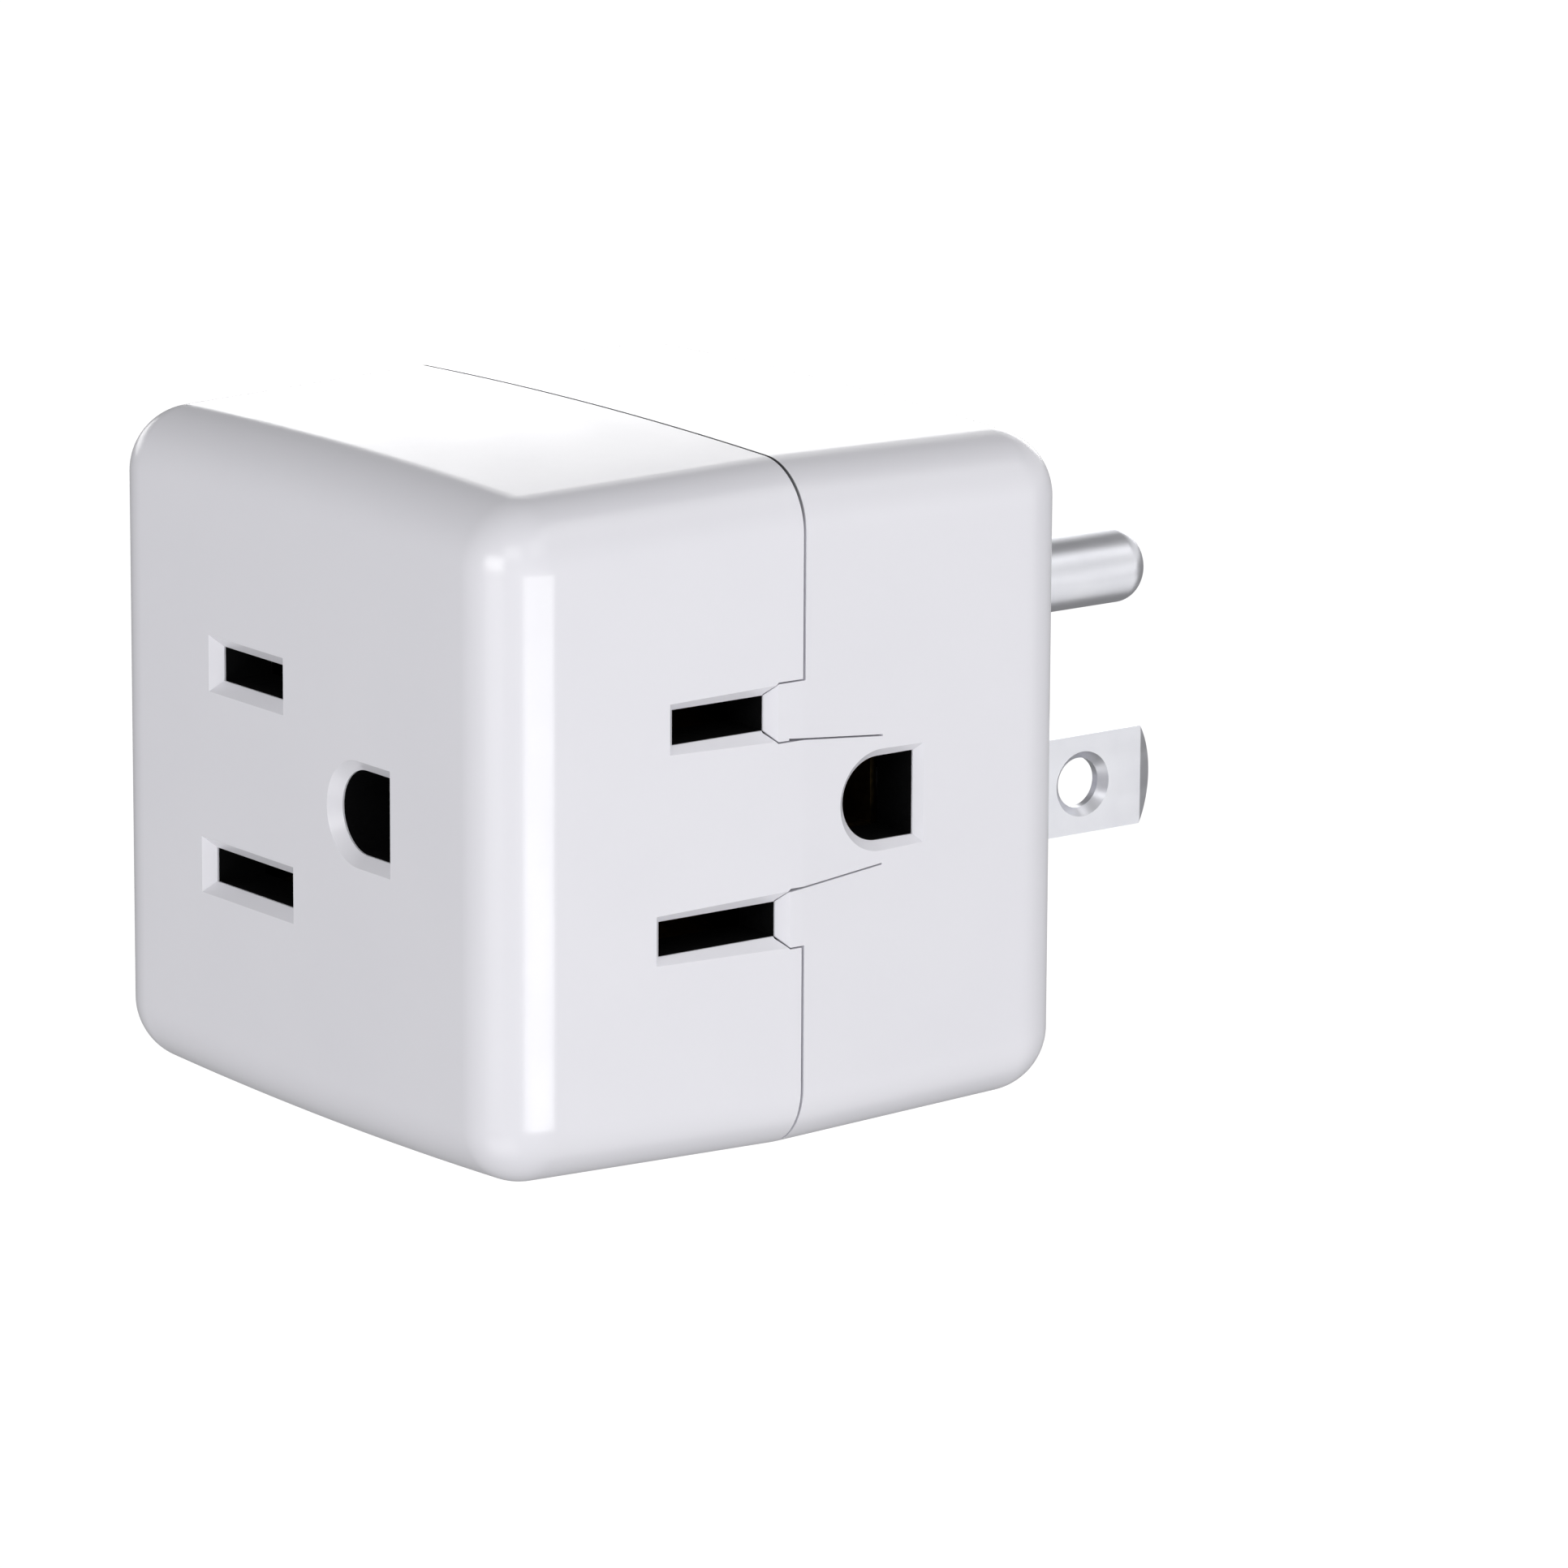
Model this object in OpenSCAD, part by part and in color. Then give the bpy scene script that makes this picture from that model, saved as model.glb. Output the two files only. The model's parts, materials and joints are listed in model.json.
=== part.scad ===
// Grounded cube tap: a wall adapter that turns one grounded mains outlet into three,
// one on the front and one on each side.
//
// Millimetres, +Z up. The origin is the middle of the flat rear face, which lies
// against the wall. The plug's blades and pin point along +Y, the front outlet faces
// -Y, and the ground pin is the upper one.
//
// Each outlet is drawn once, in a frame of its own: the origin is on the face, midway
// between the two blade slots, +X runs to the ground hole, +Y runs into the body.

/* [Body] */
// Width across X at the parting plane
body_w = 43; // [43:0.5:47]
// Depth along Y, from the front face to the rear face
body_d = 42.8; // [42.8:0.2:46]
// Height at the crown
body_h = 42.8; // [42.8:0.2:47]
// Radius of the outer edges
edge_r = 4.1; // [3.5:0.1:4.5]
// Draft: how far each end is smaller than the parting plane, on each side
draft = 0.4; // [0:0.1:0.5]
// Rise of the top and bottom from their sides to their middle
crown = 0.33; // [0:0.01:0.5]
// Wall thickness
wall = 2.4; // [2.2:0.1:2.6]
// Distance from the rear face to the parting plane
parting_depth = 21.2; // [21:0.1:21.6]
// Open gap along the parting plane
seam_gap = 0.2; // [0.1:0.05:0.3]
// Tight gap round the tabs and tongues that cross the parting plane
joint_gap = 0.08; // [0.05:0.01:0.12]

/* [Outlets] */
// Distance between the two blade slots
slot_pitch = 12.7; // [12.6:0.05:12.8]
// Distance from the line through the slots to the ground pin
ground_offset = 11.9; // [11.8:0.05:12]
// Clear length of the hot slot
hot_slot_l = 6.7; // [6.6:0.1:7.2]
// Clear length of the neutral slot
neutral_slot_l = 8.6; // [8.2:0.1:8.8]
// Clear height of both slots
slot_t = 2.15; // [1.9:0.05:2.3]
// Radius of the round side of the ground hole
ground_hole_r = 2.6; // [2.5:0.05:2.7]
// Distance from the ground pin's axis to the flat side of its hole
ground_flat = 2.7; // [2.6:0.1:3]
// Depth and width of the sloping lead-in round each opening
lead_in = 0.68; // [0.4:0.02:0.8]
// Distance of the slots from the middle of their face
outlet_shift = 5.6; // [5.4:0.1:5.8]

/* [Plug] */
// Distance between the two blades
blade_pitch = 12.7; // [12.6:0.05:12.8]
// Distance from the line through the blades to the ground pin
pin_offset = 11.9; // [11.8:0.05:12]
// Height of the blades' middle line above the middle of the rear face
blade_z = -5.5; // [-5.7:0.1:-5.3]
// Width of a blade
blade_w = 6.35; // [6.25:0.05:6.45]
// Thickness of a blade
blade_t = 1.52; // [1.4:0.02:1.6]
// Length of a blade beyond the rear face
blade_l = 17.5; // [16:0.1:18.2]
// How far the rounded blade end bulges past its corners
blade_bulge = 1.1; // [0.8:0.1:1.4]
// Radius of the hole in a blade
blade_hole_r = 1.6; // [1.5:0.05:1.7]
// Distance from the rear face to the hole in a blade
blade_hole_y = 11.8; // [11:0.1:12]
// Depth of the countersink on each side of that hole
blade_sink = 0.5; // [0.3:0.05:0.55]
// Diameter of the ground pin
pin_d = 4.75; // [4.6:0.05:4.8]
// Length of the ground pin beyond the rear face
pin_l = 21.5; // [20:0.1:22]
// Length of the pin's rounded end
pin_dome = 1.9; // [1.5:0.1:2.3]

/* [Contacts] */
// Thickness of the spring clips
clip_t = 0.5; // [0.4:0.05:0.5]
// Width of the blade clips
clip_w = 6; // [5:0.5:6]
// Thickness of the bus bars
bus_t = 0.8; // [0.7:0.05:0.8]
// Radius of the rivet shanks
rivet_r = 0.8; // [0.7:0.05:0.9]

/* [Screws] */
// Distance of each housing screw from the middle, along Z
screw_z = 15.2; // [15:0.1:15.6]
// Radius of the screw shank
screw_r = 1.2; // [1:0.05:1.25]
// Radius of the screw head
head_r = 2.4; // [2.2:0.1:2.5]

/* [Hidden] */

$fn = 48;
ball_fn = 36;
eps = 0.01;

white = [0.93, 0.93, 0.94];
black = [0.06, 0.06, 0.07];
brass = [0.80, 0.66, 0.35];
nickel = [0.84, 0.84, 0.86];
steel = [0.72, 0.73, 0.76];

// Quarter turns about the upright axis that carry the front outlet to each face
FRONT = 0;
RIGHT = 1;
LEFT = -1;
FACES = [FRONT, RIGHT, LEFT];

// Heights of the line and neutral slots above the middle of an outlet
LINE = slot_pitch / 2;
NEUTRAL = -slot_pitch / 2;

middle_y = -body_d / 2;
parting_y = -parting_depth;
cavity_w = body_w - 2 * wall;
cavity_h = body_h - 2 * wall;
rear_wall = wall;

// The black inner block sits in the cavity with this much play
play = 0.2;
snug = 0.1;
carrier_w = cavity_w - 2 * play;
carrier_front = -body_d + wall + play;
carrier_rear = -4.5;
carrier_h = 22.2;
carrier_wall = 1.6;
shelf_end = carrier_rear - 1;
// Bottom and top of each deck inside the carrier
line_deck = [3.9, 9.9];
ground_deck = [-3.7, 3.1];
neutral_deck = [-9.9, -4.3];

// The nose of the carrier fills a pocket behind the lip round each opening
lip = lead_in + 0.12;
pocket_margin = 0.9;
nose_margin = 0.75;
nose_gap = 0.05;

cap_t = 1.8;
cap_front = carrier_rear + 0.1;
cap_rear = cap_front + cap_t;
collar_t = 1;
collar_front = cap_rear - collar_t;
collar_r = 3.2;
neck_r = pin_d / 2 + 0.2;
shank_r = pin_d / 2 - 0.3;
cap_play = 0.1;
wall_play = 0.05;
shoulder_w = 8.4;
blade_end_steps = 12;

// Blade clips. Depths are measured from the face; each half gap runs from the slot's
// middle plane to the middle of the leaf.
clip_start = 4.6;
clip_pinch = 7.5;
clip_flat = 12;
clip_rivet_s = 14;
clip_end = 19.2;
mouth_gap = 1.5;
pinch_gap = 0.85;
clip_half_gap = 1.7;

// Ground clips
ground_clip_s = 4.8;
ground_clip_l = 8;
ground_waist = ground_clip_s + ground_clip_l / 2;
ground_mouth = 2.65;
ground_pinch = 2.2;
ground_clip_t = 0.45;
ground_leaf_top = 2.4;
ground_ear_x = ground_offset - 4.7;
ground_ear_margin = 0.2;
ground_base_z = -3.05;

bus_z = LINE + clip_half_gap + clip_t / 2;
ground_bus_t = 0.6;
rivet_head_r = 1.35;
rivet_head_t = 0.35;
rivet_edge = 2;
stem_x = -10;
stem_w = 5;
arm_end_x = 10.5;
ground_bar_w = 6;
upright_margin = 2.3;
riser_w = 4;
leg_w = 3;
leg_fold = 2;

// Inner tails of the blades, riveted to the bars
tail_end = -11;
tail_w = 4.2;
tail_z = -6.5;
tail_clearance = 0.3;
neutral_ear_end = -6;
ear_top = tail_z + tail_w / 2;
ear_bottom = tail_z - tail_w / 2;
blade_rivet_y = -8.5;
blade_rivet_r = 1;
blade_rivet_head_r = 1.7;
blade_rivet_head_t = 0.5;
rivet_play = 0.02;
pin_stem_r = 1.3;
pin_button_r = 2;
pin_button_t = 0.5;
upright_t = 0.7;
upright_front = cap_front - upright_t - snug;
upright_rear = upright_front + upright_t;

// Tabs and tongue of the side walls, in an outlet's frame
mouth_half_h = slot_t / 2 + lead_in;
tongue_root = slot_pitch / 2 - mouth_half_h;
tongue_tip = 3.9;

boss_r = 3;
boss_split = -14;
screw_tip = -24;
head_t = 1.7;
head_sink = 0.4;
screw_play = 0.2;
thread_play = 0.05;
rib_x = 12;
rib_t = 1.2;
rib_gap_y = 3;
lap_l = 1.5;
lap_depth = 1.6;

// ---------------------------------------------------------------- helpers

// Carries children from an outlet's frame to the face
module at_outlet(turn) {
    reach = turn == FRONT ? body_d / 2 : body_w / 2;
    translate([0, middle_y, 0])
        rotate([0, 0, 90 * turn])
            translate([-outlet_shift, -reach, 0])
                children();
}

// Turns a flat shape drawn in X and Z into a slab from y0 to y1
module slab(y0, y1) {
    translate([0, y1, 0])
        rotate([90, 0, 0])
            linear_extrude(y1 - y0)
                children();
}

// Box between two corners
module box(low, high) {
    translate(low)
        cube(high - low);
}

// Cylinder along Y from y0 to y1
module rod(x, z, r, y0, y1) {
    translate([x, y0, z])
        rotate([-90, 0, 0])
            cylinder(r = r, h = y1 - y0);
}

function slot_length(z) = z > 0 ? hot_slot_l : neutral_slot_l;

// Outline of a blade slot, grown by g on every side
function slot_outline(z, g) =
    let (x = slot_length(z) / 2 + g, h = slot_t / 2 + g)
    [[-x, z - h], [x, z - h], [x, z + h], [-x, z + h]];

// Outline of the ground hole: a half circle and a flat side
function ground_outline(g) =
    let (r = ground_hole_r + g, flat = ground_offset + ground_flat + g)
    concat(
        [for (a = [90 : 10 : 270]) [ground_offset + r * cos(a), r * sin(a)]],
        [[flat, -r], [flat, r]]
    );

function opening_outlines(g) = [slot_outline(LINE, g), slot_outline(NEUTRAL, g), ground_outline(g)];

// Solid between one outline at y0 and a like outline at y1
module funnel(outer, y0, inner, y1) {
    n = len(outer);
    points = concat(
        [for (p = outer) [p[0], y0, p[1]]],
        [for (p = inner) [p[0], y1, p[1]]]
    );
    sides = [for (i = [0 : n - 1]) [i, n + i, n + (i + 1) % n, (i + 1) % n]];
    ends = [[for (i = [0 : n - 1]) i], [for (i = [0 : n - 1]) 2 * n - 1 - i]];
    polyhedron(points, concat(sides, ends));
}

// ------------------------------------------------------------------ shells

// Rounded outer form: largest at the parting plane, crowned across the top
module outer_form() {
    ball_r = edge_r / cos(180 / ball_fn);
    half_x = body_w / 2 - edge_r;
    half_z = body_h / 2 - edge_r;
    hull()
        for (end = [[-body_d + edge_r, draft], [parting_y, 0], [-edge_r, draft]])
            for (across = [-1 : 0.5 : 1])
                for (up = [-1, 1])
                    translate([
                        across * (half_x - end[1]),
                        end[0],
                        up * (half_z - end[1] - crown * across * across)
                    ])
                        sphere(r = ball_r, $fn = ball_fn);
}

module cavity() {
    box([-cavity_w / 2, -body_d + wall, -cavity_h / 2], [cavity_w / 2, -rear_wall, cavity_h / 2]);
}

// Tabs that close the ends of the two slots, in X and Z of an outlet's frame.
// The two shells meet on the mitred corners of the lead-in.
module tabs(seam_x, g) {
    for (z = [LINE, NEUTRAL]) {
        x = slot_length(z) / 2;
        h = slot_t / 2;
        polygon([
            [seam_x + 1, z - h - lead_in - g],
            [seam_x + 1, z + h + lead_in + g],
            [x + lead_in, z + h + lead_in + g],
            [x - g, z + h + g],
            [x - g, z - h - g],
            [x + lead_in, z - h - lead_in - g]
        ]);
    }
}

// Tongue between the slots that reaches to the middle of the ground hole
module tongue(seam_x, g) {
    polygon([
        [seam_x - 1, -tongue_root - g],
        [ground_offset, -tongue_tip - g],
        [ground_offset, tongue_tip + g],
        [seam_x - 1, tongue_root + g]
    ]);
}

// Where the parting plane cuts each side outlet's frame
function seam_x(turn) = turn * (parting_y - middle_y) + outlet_shift;

module in_side_wall(turn) {
    at_outlet(turn)
        slab(-1, wall + eps)
            children();
}

module end_zone(y0, y1) {
    box([-body_w, y0, -body_h], [body_w, y1, body_h]);
}

// Space that belongs to the front shell
module front_zone() {
    difference() {
        union() {
            end_zone(-body_d - 1, parting_y);
            in_side_wall(RIGHT) tongue(seam_x(RIGHT), 0);
            in_side_wall(LEFT) tabs(seam_x(LEFT), 0);
        }
        in_side_wall(RIGHT) tabs(seam_x(RIGHT), joint_gap);
        in_side_wall(LEFT) tongue(seam_x(LEFT), joint_gap);
    }
}

// Space that belongs to the rear shell
module rear_zone() {
    difference() {
        union() {
            end_zone(parting_y + seam_gap, 1);
            in_side_wall(RIGHT) tabs(seam_x(RIGHT), 0);
            in_side_wall(LEFT) tongue(seam_x(LEFT), 0);
        }
        in_side_wall(RIGHT) tongue(seam_x(RIGHT), joint_gap);
        in_side_wall(LEFT) tabs(seam_x(LEFT), joint_gap);
    }
}

// Lap that closes the parting gap from inside, part of the rear shell
module lap(g) {
    difference() {
        box(
            [-body_w / 2 + lap_depth - g, parting_y - lap_l - g, -body_h / 2 + lap_depth - g],
            [body_w / 2 - lap_depth + g, parting_y + 1, body_h / 2 - lap_depth + g]
        );
        cavity();
    }
}

// Lead-ins and the pockets behind them, for all three outlets
module outlet_cuts() {
    for (turn = FACES)
        at_outlet(turn)
            for (i = [0 : 2]) {
                funnel(opening_outlines(lead_in + 1)[i], -1, opening_outlines(0)[i], lead_in);
                slab(0, lip + eps) polygon(opening_outlines(0)[i]);
                slab(lip, wall + 1) polygon(opening_outlines(pocket_margin)[i]);
            }
}

module ribs(y0, y1) {
    top = body_h / 2 - wall + eps;
    height = top - carrier_h / 2 - snug;
    for (x = [-rib_x, rib_x])
        for (up = [-1, 1])
            translate([x - rib_t / 2, y0, up > 0 ? top - height : -top])
                cube([rib_t, y1 - y0, height]);
}

module front_cover() {
    color(white)
        difference() {
            union() {
                difference() {
                    intersection() {
                        outer_form();
                        front_zone();
                    }
                    cavity();
                    lap(snug);
                }
                ribs(-body_d + wall - eps, parting_y - rib_gap_y);
                for (z = [-screw_z, screw_z])
                    rod(0, z, boss_r, -body_d + wall - eps, boss_split - snug);
            }
            outlet_cuts();
            for (z = [-screw_z, screw_z])
                rod(0, z, screw_r + thread_play, screw_tip - 3, boss_split + 1);
        }
}

module rear_housing() {
    color(white)
        difference() {
            union() {
                intersection() {
                    difference() {
                        outer_form();
                        cavity();
                    }
                    rear_zone();
                }
                difference() {
                    lap(0);
                    in_side_wall(RIGHT) tongue(seam_x(RIGHT), joint_gap);
                }
                ribs(parting_y + rib_gap_y, -rear_wall + eps);
                for (z = [-screw_z, screw_z])
                    rod(0, z, boss_r, boss_split, -rear_wall + eps);
            }
            outlet_cuts();
            blade_openings(wall_play);
            rod(0, pin_z(), neck_r + wall_play, -rear_wall - 1, 1);
            for (z = [-screw_z, screw_z]) {
                rod(0, z, screw_r + screw_play, boss_split - 1, 1);
                rod(0, z, head_r + screw_play, -head_sink - head_t, 1);
            }
        }
}

module housing_screws() {
    drive_w = 0.7;
    drive_l = 2.8;
    color(steel)
        for (z = [-screw_z, screw_z]) {
            rod(0, z, screw_r, screw_tip, -head_sink - head_t);
            difference() {
                rod(0, z, head_r, -head_sink - head_t, -head_sink);
                for (turn = [0, 90])
                    translate([0, -head_sink, z])
                        rotate([0, turn, 0])
                            cube([drive_l, 2 * drive_w, drive_w], center = true);
            }
        }
}

// ----------------------------------------------------------- black insulators

// Block of three decks that keeps the line, ground and neutral parts apart. Its
// noses stand in the shell's pockets and line the openings.
module contact_carrier() {
    decks = [line_deck, ground_deck, neutral_deck];
    inner_w = carrier_w - 2 * carrier_wall;
    color(black)
        difference() {
            union() {
                box(
                    [-carrier_w / 2, carrier_front, -carrier_h / 2],
                    [carrier_w / 2, carrier_rear, carrier_h / 2]
                );
                for (turn = FACES)
                    at_outlet(turn)
                        for (outline = opening_outlines(nose_margin))
                            slab(lip + nose_gap, wall + play + eps) polygon(outline);
            }
            for (deck = decks)
                box(
                    [-inner_w / 2, carrier_front + carrier_wall, deck[0]],
                    [inner_w / 2, carrier_rear + 1, deck[1]]
                );
            box(
                [-inner_w / 2, shelf_end, neutral_deck[0]],
                [inner_w / 2, carrier_rear + 1, line_deck[1]]
            );
            for (turn = FACES)
                at_outlet(turn)
                    for (outline = opening_outlines(0))
                        slab(0, wall + play + carrier_wall + 1) polygon(outline);
        }
}

// Plate that closes the back of the carrier and traps the blades' shoulders
module carrier_cap() {
    color(black)
        difference() {
            box(
                [-carrier_w / 2, cap_front, -carrier_h / 2],
                [carrier_w / 2, cap_rear, carrier_h / 2]
            );
            blade_openings(cap_play);
            blade_shoulders(cap_play);
            rod(0, pin_z(), shank_r + cap_play, cap_front - 1, cap_rear + 1);
            rod(0, pin_z(), collar_r + cap_play, collar_front - wall_play, cap_rear + 1);
        }
}

// -------------------------------------------------------------------- plug

function pin_z() = blade_z + pin_offset;

// Openings for both blades through the rear wall and the cap
module blade_openings(g) {
    for (x = [-blade_pitch / 2, blade_pitch / 2])
        box(
            [x - blade_t / 2 - g, cap_front - 1, blade_z - blade_w / 2 - g],
            [x + blade_t / 2 + g, 1, blade_z + blade_w / 2 + g]
        );
}

module blade_shoulders(g) {
    for (x = [-blade_pitch / 2, blade_pitch / 2])
        box(
            [x - blade_t / 2 - g, collar_front - g, blade_z - shoulder_w / 2 - g],
            [x + blade_t / 2 + g, cap_rear + g, blade_z + shoulder_w / 2 + g]
        );
}

// Rounded end of a blade, from its lower corner to its upper one
function blade_end(steps) =
    let (
        half_w = blade_w / 2,
        arc_r = (half_w * half_w + blade_bulge * blade_bulge) / (2 * blade_bulge),
        swing = asin(half_w / arc_r)
    )
    [for (i = [0 : steps])
        let (a = swing * (2 * i / steps - 1))
        [blade_l + arc_r * (cos(a) - 1), blade_z + arc_r * sin(a)]];

// Side view of a blade: stepped tail, shoulders and an end rounded to an arc
module blade_side() {
    half_w = blade_w / 2;
    polygon(concat(
        [[cap_front, blade_z - half_w]],
        blade_end(blade_end_steps),
        [[cap_front, blade_z + half_w]]
    ));
    translate([collar_front, blade_z - shoulder_w / 2])
        square([cap_rear - collar_front, shoulder_w]);
    translate([tail_end, tail_z - tail_w / 2])
        square([cap_front - tail_end + eps, tail_w]);
}

// Plan of a blade: both faces bevelled towards the end
module blade_plan() {
    half_t = blade_t / 2;
    bevel = 0.3 * blade_t;
    polygon([
        [-half_t, tail_end - 1], [half_t, tail_end - 1],
        [half_t, blade_l - blade_bulge], [half_t - bevel, blade_l],
        [bevel - half_t, blade_l], [-half_t, blade_l - blade_bulge]
    ]);
}

module blade(x) {
    sink_r = blade_hole_r + 2 * blade_sink;
    difference() {
        intersection() {
            translate([x - blade_t, 0, 0])
                rotate([90, 0, 90])
                    linear_extrude(2 * blade_t)
                        blade_side();
            translate([x, 0, blade_z - blade_w])
                linear_extrude(2 * blade_w)
                    blade_plan();
        }
        translate([x, blade_hole_y, blade_z])
            rotate([0, 90, 0])
                cylinder(r = blade_hole_r, h = 2 * blade_t, center = true);
        for (side = [0, 180])
            translate([x, blade_hole_y, blade_z])
                rotate([0, 90, side])
                    translate([0, 0, blade_t / 2 - blade_sink])
                        cylinder(r1 = blade_hole_r, r2 = sink_r, h = 2 * blade_sink);
        translate([x, blade_rivet_y, tail_z])
            rotate([0, 90, 0])
                cylinder(r = blade_rivet_r + rivet_play, h = 2 * blade_t, center = true);
    }
}

module line_blade() {
    color(nickel) blade(-blade_pitch / 2);
}

module neutral_blade() {
    color(nickel) blade(blade_pitch / 2);
}

// Turned pin with a rounded end, a collar and a stem riveted to the ground bar
module ground_pin() {
    r = pin_d / 2;
    straight = pin_l - pin_dome;
    button = upright_front - pin_button_t;
    profile = concat(
        [[0, button], [pin_button_r, button], [pin_button_r, upright_front]],
        [[pin_stem_r, upright_front], [pin_stem_r, upright_rear], [shank_r, upright_rear]],
        [[shank_r, collar_front], [collar_r, collar_front], [collar_r, cap_rear]],
        [[neck_r, cap_rear], [neck_r, 0], [r, 0]],
        [for (a = [0 : 6 : 90]) [r * cos(a), straight + pin_dome * sin(a)]]
    );
    color(nickel)
        translate([0, 0, pin_z()])
            rotate([-90, 0, 0])
                rotate_extrude()
                    polygon(profile);
}

// ---------------------------------------------------------------- contacts

// Half gap of a blade clip behind the pinch: it opens along a curve, then runs flat
function half_gap(s) =
    let (u = (clip_flat - s) / (clip_flat - clip_pinch))
    clip_half_gap - (clip_half_gap - pinch_gap) * u * u;

// One leaf's middle line, moved out by t: flared mouth, pinch, flat, half of the bend
function leaf(t) =
    let (bend = clip_end - clip_half_gap - clip_t / 2, r = clip_half_gap + t)
    concat(
        [[clip_start, mouth_gap + t]],
        [for (s = [clip_pinch : (clip_flat - clip_pinch) / 4 : clip_flat]) [s, half_gap(s) + t]],
        [for (a = [90 : -15 : 0]) [bend + r * cos(a), r * sin(a)]]
    );

function mirrored(points) = [for (i = [len(points) - 1 : -1 : 0]) [points[i][0], -points[i][1]]];

// Hairpin spring clip for one blade, in an outlet's frame
module blade_clip(turn, z) {
    outside = concat(leaf(clip_t / 2), mirrored(leaf(clip_t / 2)));
    inside = concat(leaf(-clip_t / 2), mirrored(leaf(-clip_t / 2)));
    flip = z > 0 ? 1 : -1;
    color(brass)
        difference() {
            at_outlet(turn)
                translate([-clip_w / 2, 0, z])
                    rotate([90, 0, 90])
                        linear_extrude(clip_w)
                            difference() {
                                polygon(outside);
                                polygon(concat(inside, [[clip_start - 1, -3], [clip_start - 1, 3]]));
                            }
            at_outlet(turn)
                translate([0, clip_rivet_s, z + flip * clip_half_gap])
                    cylinder(r = rivet_r + rivet_play, h = 2, center = true);
        }
}

// Ground clip: a base with an ear, and two upright leaves that grip the pin
module ground_clip(turn) {
    s1 = ground_clip_s + ground_clip_l;
    t = ground_clip_t;
    color(brass)
        difference() {
            at_outlet(turn) {
                box(
                    [ground_ear_x - rivet_head_r - ground_ear_margin, ground_clip_s, ground_base_z],
                    [ground_offset + ground_mouth + t, s1, ground_base_z + t]
                );
                for (side = [-1, 1])
                    translate([ground_offset, 0, ground_base_z + t - eps])
                        linear_extrude(ground_leaf_top - ground_base_z - t)
                            polygon([
                                [side * ground_mouth, ground_clip_s],
                                [side * (ground_mouth + t), ground_clip_s],
                                [side * (ground_pinch + t), ground_waist],
                                [side * (ground_mouth + t), s1],
                                [side * ground_mouth, s1],
                                [side * ground_pinch, ground_waist]
                            ]);
            }
            at_outlet(turn)
                translate([ground_ear_x, ground_waist, ground_base_z])
                    cylinder(r = rivet_r + rivet_play, h = 2, center = true);
        }
}

module front_line_clip() { blade_clip(FRONT, LINE); }
module front_neutral_clip() { blade_clip(FRONT, NEUTRAL); }
module front_ground_clip() { ground_clip(FRONT); }
module right_line_clip() { blade_clip(RIGHT, LINE); }
module right_neutral_clip() { blade_clip(RIGHT, NEUTRAL); }
module right_ground_clip() { ground_clip(RIGHT); }
module left_line_clip() { blade_clip(LEFT, LINE); }
module left_neutral_clip() { blade_clip(LEFT, NEUTRAL); }
module left_ground_clip() { ground_clip(LEFT); }

// ---------------------------------------------------------------- bus bars

// Holes for the blade clips' rivets through one bar
module clip_rivet_holes(z) {
    for (turn = FACES)
        at_outlet(turn)
            translate([0, clip_rivet_s, z])
                cylinder(r = rivet_r + rivet_play, h = 3, center = true);
}

// Flat bar under the blade clips, from z0 to z1: an arm that joins the front and right
// clips, and a stem that runs back past the left clip to stem_end
module bus_plate(z0, z1, stem_end) {
    front = -body_d + clip_rivet_s - rivet_edge;
    box([stem_x, front, z0], [arm_end_x, front + stem_w + 1, z1]);
    box([stem_x, front, z0], [stem_x + stem_w, stem_end, z1]);
}

module blade_rivet_hole(side) {
    translate([side * blade_pitch / 2, blade_rivet_y, tail_z])
        rotate([0, 90, 0])
            cylinder(r = blade_rivet_r + rivet_play, h = 8, center = true);
}

// Upper bar, with a riser behind the decks down to the line blade's outer face
module line_bus() {
    face_x = -(blade_pitch + blade_t) / 2;
    color(brass)
        difference() {
            union() {
                bus_plate(bus_z, bus_z + bus_t, upright_rear);
                box([face_x - riser_w, upright_front, ear_bottom], [face_x, upright_rear, bus_z + bus_t]);
                box([face_x - bus_t, tail_end, ear_bottom], [face_x, upright_rear, ear_top]);
            }
            clip_rivet_holes(bus_z);
            blade_rivet_hole(-1);
        }
}

// Lower bar, with an ear folded up along the neutral blade's outer face
module neutral_bus() {
    face_x = (blade_pitch + blade_t) / 2;
    left_clip_y = middle_y + outlet_shift;
    leg_end = tail_end - tail_clearance;
    color(brass)
        difference() {
            union() {
                bus_plate(-bus_z - bus_t, -bus_z, left_clip_y + stem_w / 2);
                box(
                    [face_x - leg_w, -body_d + clip_rivet_s, -bus_z - bus_t],
                    [face_x + bus_t, leg_end, -bus_z]
                );
                box([face_x, leg_end - leg_fold, -bus_z - bus_t], [face_x + bus_t, neutral_ear_end, ear_top]);
            }
            clip_rivet_holes(-bus_z);
            blade_rivet_hole(1);
        }
}

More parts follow.
